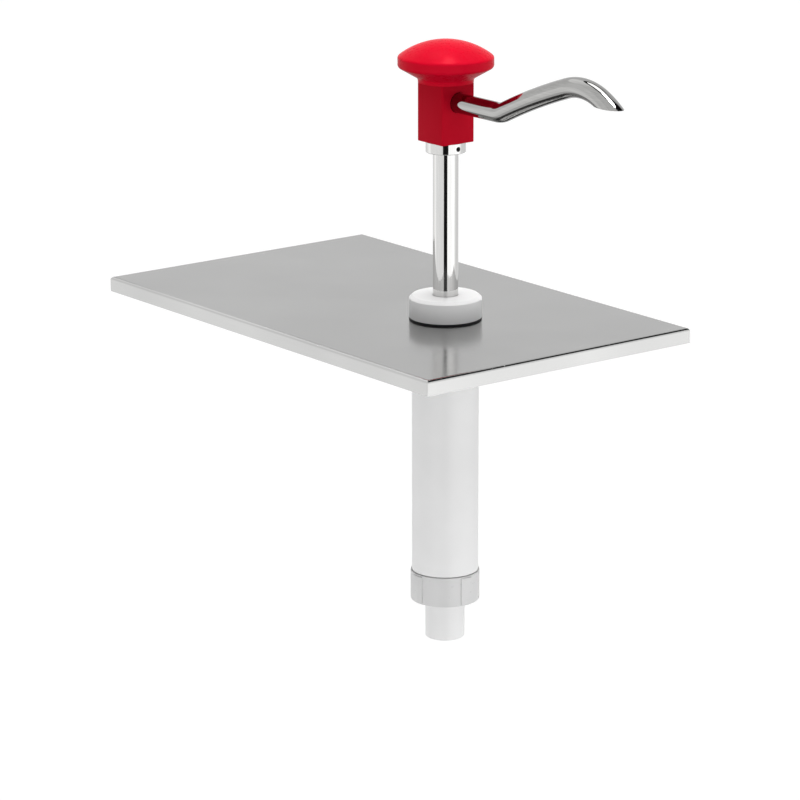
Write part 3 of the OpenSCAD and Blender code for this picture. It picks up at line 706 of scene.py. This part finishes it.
# %% [markdown]
# ## Knob
# The knob is a mushroom: a shallow dome, a rounded rim, a sloping underside and a short neck on the
# block. A squashed sphere has no such rim, and a subdivided mesh would need loops to hold it. So all
# of it is one outline of arcs that meet smoothly, spun in finer steps than the rest, because the
# knob's rim is the widest round edge.

# %% Knob
knob_radius, dome_radius, rim_round, slope = 23.8, 38.4, 1.8, 30
neck_height, neck_fillet, rim_height = 1.9, 2.0, 3
neck_radius = (block_width / 2 - block_corner) * sqrt(2) + block_corner
rim_radius = knob_radius - rim_round
neck_top = knob_low + neck_height
under_radius = rim_radius + rim_round * sin(radians(slope))
under_z = neck_top + (under_radius - neck_radius) * tan(radians(slope))
rim_low = under_z + rim_round * cos(radians(slope))
rim_high = rim_low + rim_height
dome_z = rim_high - sqrt((dome_radius - rim_round) ** 2 - rim_radius ** 2)
dome_start = degrees(atan2(rim_high - dome_z, rim_radius))
knob_outline = (
    [(0, knob_low, 0), (neck_radius, knob_low, 0.15), (neck_radius, neck_top, neck_fillet)]
    + arc(rim_radius, rim_low, rim_round, slope - 90, 0, 8)
    + arc(rim_radius, rim_high, rim_round, 0, dome_start, 8)
    + arc(0, dome_z, dome_radius, dome_start, 90, 24)[1:])
knob_steps = 160
knob = finish_piece(
    "mushroom_knob", spun(knob_outline, steps=knob_steps), "plunger", ["knob"], sharp=50)
dress(knob, lit_knob_plastic)

# %% [markdown]
# ## Spout
# A real spout is a straight tube bent in a former and sawn off level. A curve with a round bevel
# would give the tube, but its bends would only come near to true arcs. So it's made as in the
# workshop: a ring is extruded straight, then spun about the centre of each bend in turn, and at last
# the end is cut by a level plane. The bore is a second, smaller ring that goes through the same bends.

# %% The spout's line, as the radius of each bend and the angle it ends at
bends = [(15.2, 25), (400, 18), (34, -26), (58.5, -70)]
spout_radius, spout_bore, spout_segments = 5.0, 4.0, 64
spout_level, mouth_z = 40.4, spout_z + 14.5
last_bend, root_end = 98, 20
bend_step = 1.2
print("spout bends:", bends)


# %% Bend a tube
def bent_skin(work, radius):
    """A tube skin that follows the spout's line, from its root to past the mouth."""
    circle = bmesh.ops.create_circle(
        work, cap_ends=False, radius=radius * mm, segments=spout_segments)["verts"]
    bmesh.ops.rotate(work, cent=(0, 0, 0), matrix=Matrix.Rotation(radians(90), 3, "X"), verts=circle)
    bmesh.ops.translate(work, verts=circle, vec=in_front(spout_root, spout_z))
    ring = extruded(work, each_once(e for v in circle for e in v.link_edges))
    straight = (0, -(spout_level - spout_root) * mm, 0)
    bmesh.ops.translate(work, verts=verts_of(ring), vec=straight)
    out, high, angle = spout_level, spout_z, 0.0
    for bend_radius, end in bends:
        side = 1 if end > angle else -1
        a, b = radians(angle), radians(end)
        centre_out = out - side * bend_radius * sin(a)
        centre_high = high + side * bend_radius * cos(a)
        made = bmesh.ops.spin(
            work, geom=ring + verts_of(ring), cent=in_front(centre_out, centre_high),
            axis=(1, 0, 0), angle=-(b - a), steps=max(6, int(bend_radius * abs(b - a) / bend_step)))
        ring = [g for g in made["geom_last"] if isinstance(g, bmesh.types.BMEdge)]
        out = centre_out + side * bend_radius * sin(b)
        high = centre_high - side * bend_radius * cos(b)
        angle = end


# %% Spout
def make_spout():
    """The spout, two skins cut off level at the mouth and joined at both ends."""
    work = bmesh.new()
    bent_skin(work, spout_radius)
    bent_skin(work, spout_bore)
    far = [f for f in work.faces if f.calc_center_median().y < pump_y - last_bend * mm]
    near_mouth = verts_of(far) + each_once(e for f in far for e in f.edges) + far
    bmesh.ops.bisect_plane(work, geom=near_mouth, dist=1e-7, plane_co=(0, 0, mouth_z * mm),
                           plane_no=(0, 0, -1), clear_outer=True)
    loose = [v for v in work.verts if not v.link_faces]
    bmesh.ops.delete(work, geom=loose, context="VERTS")
    rim = open_edges(work)
    root = [e for e in rim if e.verts[0].co.y > pump_y - root_end * mm]
    mouth = [e for e in rim if e.verts[0].co.y <= pump_y - root_end * mm]
    bmesh.ops.bridge_loops(work, edges=root)
    bmesh.ops.bridge_loops(work, edges=mouth)
    return work


spout = finish_piece("bent_spout", make_spout(), "plunger", ["spout"], sharp=40)
dress(spout, shaded_spout_steel)

# %% [markdown]
# ## Pieces that keep their CAD shape
# The set screw, the guide, the wiper, the piston, the valves, the spring and the seals are inside or
# nearly so. Their solids already have the right shape, so each only gets its finish.

# %% Finishes of the inner pieces
finishes = {
    "rod_guide": guide_plastic, "piston": guide_plastic, "rod_wiper": black_rubber,
    "foot_seal": black_rubber, "piston_seal_upper": black_rubber, "piston_seal_lower": black_rubber,
    "tube_seal": black_rubber, "spout_seal": black_rubber, "foot_ball": ball_steel,
    "discharge_ball": ball_steel, "piston_pin": ball_steel, "foot_cage": disc_steel,
    "spring_washer": disc_steel, "return_spring": wire_steel, "ferrule_screw": black_screw}
for node, material in finishes.items():
    dress(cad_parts[node], material)
print(len(finishes), "CAD nodes dressed")

# %% [markdown]
# ## Room and light
# The photograph has a pure white ground, a strong soft light from above, and much light that comes
# back up from below. Mirror-like metal shows more of the place: pale walls, a dark gap behind the
# camera, which is the black stripe down the tube, and overhead a bright panel with a dark frame and a
# small, very bright core. One room for all rays would be simpler, but what suits the metal would
# stain the plastics. So the world has three faces, picked by the kind of ray: white for the camera,
# the mirror room for reflections, and soft light for the rest.

# %% World helpers, which add nodes to the tree in hand
world = bpy.data.worlds.new("studio")
bpy.context.scene.world = world
world.use_nodes = True
tree = world.node_tree
tree.nodes.clear()


def math_node(operation, *values):
    """A Math node on links or numbers."""
    node = tree.nodes.new("ShaderNodeMath")
    node.operation = operation
    for socket, value in zip(node.inputs, values):
        if isinstance(value, (int, float)):
            socket.default_value = value
        else:
            tree.links.new(value, socket)
    return node.outputs["Value"]


def grey_ramp(value, stops):
    """A Color Ramp of greys over a value from 0 to 1, from (position, grey) stops."""
    ramp = tree.nodes.new("ShaderNodeValToRGB")
    elements = ramp.color_ramp.elements
    elements[0].position, elements[1].position = stops[0][0], stops[-1][0]
    elements[0].color = (*[stops[0][1]] * 3, 1)
    elements[1].color = (*[stops[-1][1]] * 3, 1)
    for position, grey in stops[1:-1]:
        elements.new(position).color = (grey, grey, grey, 1)
    tree.links.new(value, ramp.inputs["Fac"])
    return ramp.outputs["Color"]


def blend(factor, first, second):
    """Mixes two colours by a link from 0 to 1."""
    mix = tree.nodes.new("ShaderNodeMix")
    mix.data_type = "RGBA"
    for socket, value in (("Factor", factor), ("A", first), ("B", second)):
        tree.links.new(value, mix.inputs[socket])
    return mix.outputs["Result"]


# %% Directions in the world
direction = tree.nodes.new("ShaderNodeTexCoord")
axes = tree.nodes.new("ShaderNodeSeparateXYZ")
tree.links.new(direction.outputs["Generated"], axes.inputs["Vector"])
x, y, z = (axes.outputs[axis] for axis in "XYZ")


def along_level(vector):
    """How far a ray points along a level vector."""
    return math_node("ADD", math_node("MULTIPLY", x, vector.x), math_node("MULTIPLY", y, vector.y))


# height is (sin elevation + 1) / 2, and around runs from 0 to 1 with 0.5 behind the camera.
height = math_node("MULTIPLY_ADD", z, 0.5, 0.5)
towards = along_level(Vector((back.x, back.y, 0)).normalized())
rightward = along_level(right)
around = math_node("MULTIPLY_ADD", math_node("ARCTAN2", rightward, towards), 0.5 / pi, 0.5)


# %% Ramps over the height
def height_ramp(pairs):
    """A grey ramp from (elevation in degrees, grey) pairs."""
    return grey_ramp(height, [((sin(radians(e)) + 1) / 2, grey) for e, grey in pairs])


def above(low, under, over):
    """Changes from one colour to another within two degrees of elevation above low."""
    return blend(height_ramp([(-90, 0), (low, 0), (low + 2, 1), (90, 1)]), under, over)


# %% [markdown]
# The mirror room is built from below: the ground, the low walls with the dark gap, the upper walls
# without it, because the lid's broad top would mirror it in other views, and the ceiling. A ray that
# has been mirrored twice, which the Light Path node's Glossy Depth tells, meets a room of its own.
# There the gap goes on upwards, so the stripe reaches down the tube to the collar, where it mirrors
# the lid. On the far left a dark ring stands in the sky. The spout's underside mirrors the lid, so it
# meets that ring, which is the black line along the spout.

# %% Walls and ground
low_walls = grey_ramp(around, [
    (0.0, 0.85), (0.12, 1.06), (0.208, 1.6), (0.25, 1.22), (0.452, 1.2), (0.457, 0.01), (0.540, 0.01),
    (0.546, 1.76), (0.64, 1.74), (0.711, 2.08), (0.78, 1.1), (0.90, 0.92), (1.0, 0.85)])
upper_walls = grey_ramp(around, [
    (0.0, 0.85), (0.12, 1.06), (0.21, 1.3), (0.45, 1.5), (0.55, 1.6), (0.64, 1.7),
    (0.711, 1.5), (0.80, 1.1), (1.0, 0.85)])
gap_walls = grey_ramp(around, [
    (0.0, 0.85), (0.12, 1.06), (0.21, 1.3), (0.452, 1.5), (0.46, 0.1), (0.536, 0.1),
    (0.546, 1.9), (0.64, 1.8), (0.711, 1.5), (0.80, 1.1), (1.0, 0.85)])
high_walls = grey_ramp(around, [
    (0.0, 1.0), (0.05, 1.05), (0.075, 1.6), (0.16, 1.6), (0.2, 1.2), (0.5, 1.2), (0.70, 1.1),
    (0.715, 0.01), (0.875, 0.01), (0.89, 0.9), (1.0, 1.0)])
ground = height_ramp([(-90, 1.2), (-60, 1.1), (-45, 1.0), (-30, 1.0)])
print("walls made")

# %% The dark ring of the second mirroring
rays = tree.nodes.new("ShaderNodeLightPath")
again = math_node("GREATER_THAN", rays.outputs["Glossy Depth"], 1.5)
dark_ring = height_ramp([(-90, 1.0), (30, 1.0), (45, 1.1), (47, 0.0), (59, 0.0), (60.5, 3.0), (90, 3.0)])
far_left = grey_ramp(around, [(0.0, 1), (0.23, 1), (0.25, 0), (0.95, 0), (0.97, 1), (1.0, 1)])
print("dark ring made")


# %% The bright panel overhead, an oval with a dark frame and a hot core
def off_centre(centre_x, centre_y, size_x, size_y):
    """Distance from an oval's middle, on the plan of the sky, where 0.5 is the oval's edge."""
    across = math_node("DIVIDE", math_node("SUBTRACT", x, centre_x), 2 * size_x)
    along = math_node("DIVIDE", math_node("SUBTRACT", y, centre_y), 2 * size_y)
    squares = math_node("ADD", math_node("MULTIPLY", across, across), math_node("MULTIPLY", along, along))
    return math_node("SQRT", squares)


panel = grey_ramp(off_centre(0.17, 0.24, 0.21, 0.34), [(0.0, 3.6), (0.49, 3.6), (0.505, 0.01), (1.0, 0.01)])
off_frame = grey_ramp(off_centre(0.16, 0.23, 0.36, 0.42), [(0.0, 0), (0.495, 0), (0.505, 1), (1.0, 1)])
sky = blend(off_frame, panel, high_walls)
core = grey_ramp(off_centre(0.09, 0.03, 0.14, 0.14), [(0.0, 1), (0.48, 1), (0.52, 0), (1.0, 0)])
hot = tree.nodes.new("ShaderNodeRGB")
hot.outputs["Color"].default_value = (60, 60, 60, 1)
ceiling = blend(core, sky, hot.outputs["Color"])
print("panel made")

# %% The mirror room, from the ground up
room_walls = above(0, above(-31, ground, low_walls), blend(again, upper_walls, gap_walls))
room_ceiling = blend(again, ceiling, blend(far_left, ceiling, dark_ring))
mirror_room = above(30, room_walls, room_ceiling)
print("mirror room made")

# %% [markdown]
# Matt surfaces gather light from all sides, so for them a few broad bands do. The brightest lies just
# below the horizon and lights the cylinder and the knob's underside. The lamps light what looks up, so
# the sky is dim. A glossy ray with a diffuse bounce behind it gets this light too, because otherwise
# the metal would throw the hot core's light as bright specks on the plastics.


# %% What matt surfaces get, and the choice by kind of ray
def background(colour):
    """A Background shader of a link's colour."""
    node = tree.nodes.new("ShaderNodeBackground")
    tree.links.new(colour, node.inputs["Color"])
    return node.outputs["Background"]


def choose(factor, first, second):
    """Mixes two shaders by a link from 0 to 1."""
    node = tree.nodes.new("ShaderNodeMixShader")
    for socket, value in zip(node.inputs, (factor, first, second)):
        tree.links.new(value, socket)
    return node.outputs[0]


soft_light = height_ramp([
    (-90, 0.15), (-34, 0.2), (-28, 2.2), (-2, 2.2), (1, 0.3), (18, 0.27), (24, 0.27),
    (55, 0.3), (60, 0.1), (90, 0.1)])
white = tree.nodes.new("ShaderNodeBackground")
white.inputs["Color"].default_value = (1, 1, 1, 1)
first_look = math_node("LESS_THAN", rays.outputs["Diffuse Depth"], 0.5)
mirrored = math_node("MULTIPLY", rays.outputs["Is Glossy Ray"], first_look)
lit = choose(mirrored, background(soft_light), background(mirror_room))
seen = choose(rays.outputs["Is Camera Ray"], lit, white.outputs["Background"])
output = tree.nodes.new("ShaderNodeOutputWorld")
tree.links.new(seen, output.inputs["Surface"])
print("world made")

# %% [markdown]
# ## Floor
# The floor lies well below, because the pump hangs in a pan and nothing stands on it. The camera sees
# it white, with a small part of its real shading. Reflections and bounced light pass it by, because
# the mirror room and the soft light have their own ground.

# %% Floor
floor_half, floor_drop = 12, 1.2
glow_strength, glow_share = 1.14, 0.85
floor_work = bmesh.new()
bmesh.ops.create_grid(floor_work, x_segments=1, y_segments=1, size=floor_half)
bmesh.ops.translate(floor_work, verts=floor_work.verts, vec=(0, 0, -floor_drop))
floor = new_object("floor", floor_work)
floor.visible_glossy = False
floor.visible_diffuse = False

pale = new_material("pale_floor", Roughness=0.9, Base_Color=(0.9, 0.9, 0.9, 1))
tree = pale.node_tree
glow = tree.nodes.new("ShaderNodeEmission")
glow.inputs["Strength"].default_value = glow_strength
floor_rays = tree.nodes.new("ShaderNodeLightPath")
glow_part = math_node("MULTIPLY", floor_rays.outputs["Is Camera Ray"], glow_share)
floor_look = choose(glow_part, principled(pale).outputs["BSDF"], glow.outputs["Emission"])
tree.links.new(floor_look, tree.nodes["Material Output"].inputs["Surface"])
dress(floor, pale)
print("floor made")

# %% [markdown]
# ## Lamps
# Area lamps give soft shadows: a wide one overhead, a small one beside it that gives the shadows a
# little more edge, and a weak one low in front for the upright faces. Metal would mirror them as hard
# squares, so reflections don't see them, and the panel in the mirror room stands for them.


# %% Lamps
def soft_lamp(name, power, size, spot):
    """A square area lamp at a spot in metres that points at the pump."""
    data = bpy.data.lights.new(name, "AREA")
    data.energy, data.size, data.shape = power, size, "SQUARE"
    lamp = bpy.data.objects.new(name, data)
    bpy.context.scene.collection.objects.link(lamp)
    aim = (-Vector(spot)).to_track_quat("-Z", "Y")
    lamp.matrix_world = Matrix.Translation(spot) @ aim.to_matrix().to_4x4()
    lamp.visible_glossy = False


soft_lamp("overhead", 36, 2.4, (0.1, -0.1, 1.6))
soft_lamp("top_panel", 12, 0.6, (0.1, 0.0, 1.6))
soft_lamp("right_fill", 3.8, 0.9, (0.1, -1.9, -0.1))
print("lamps made")
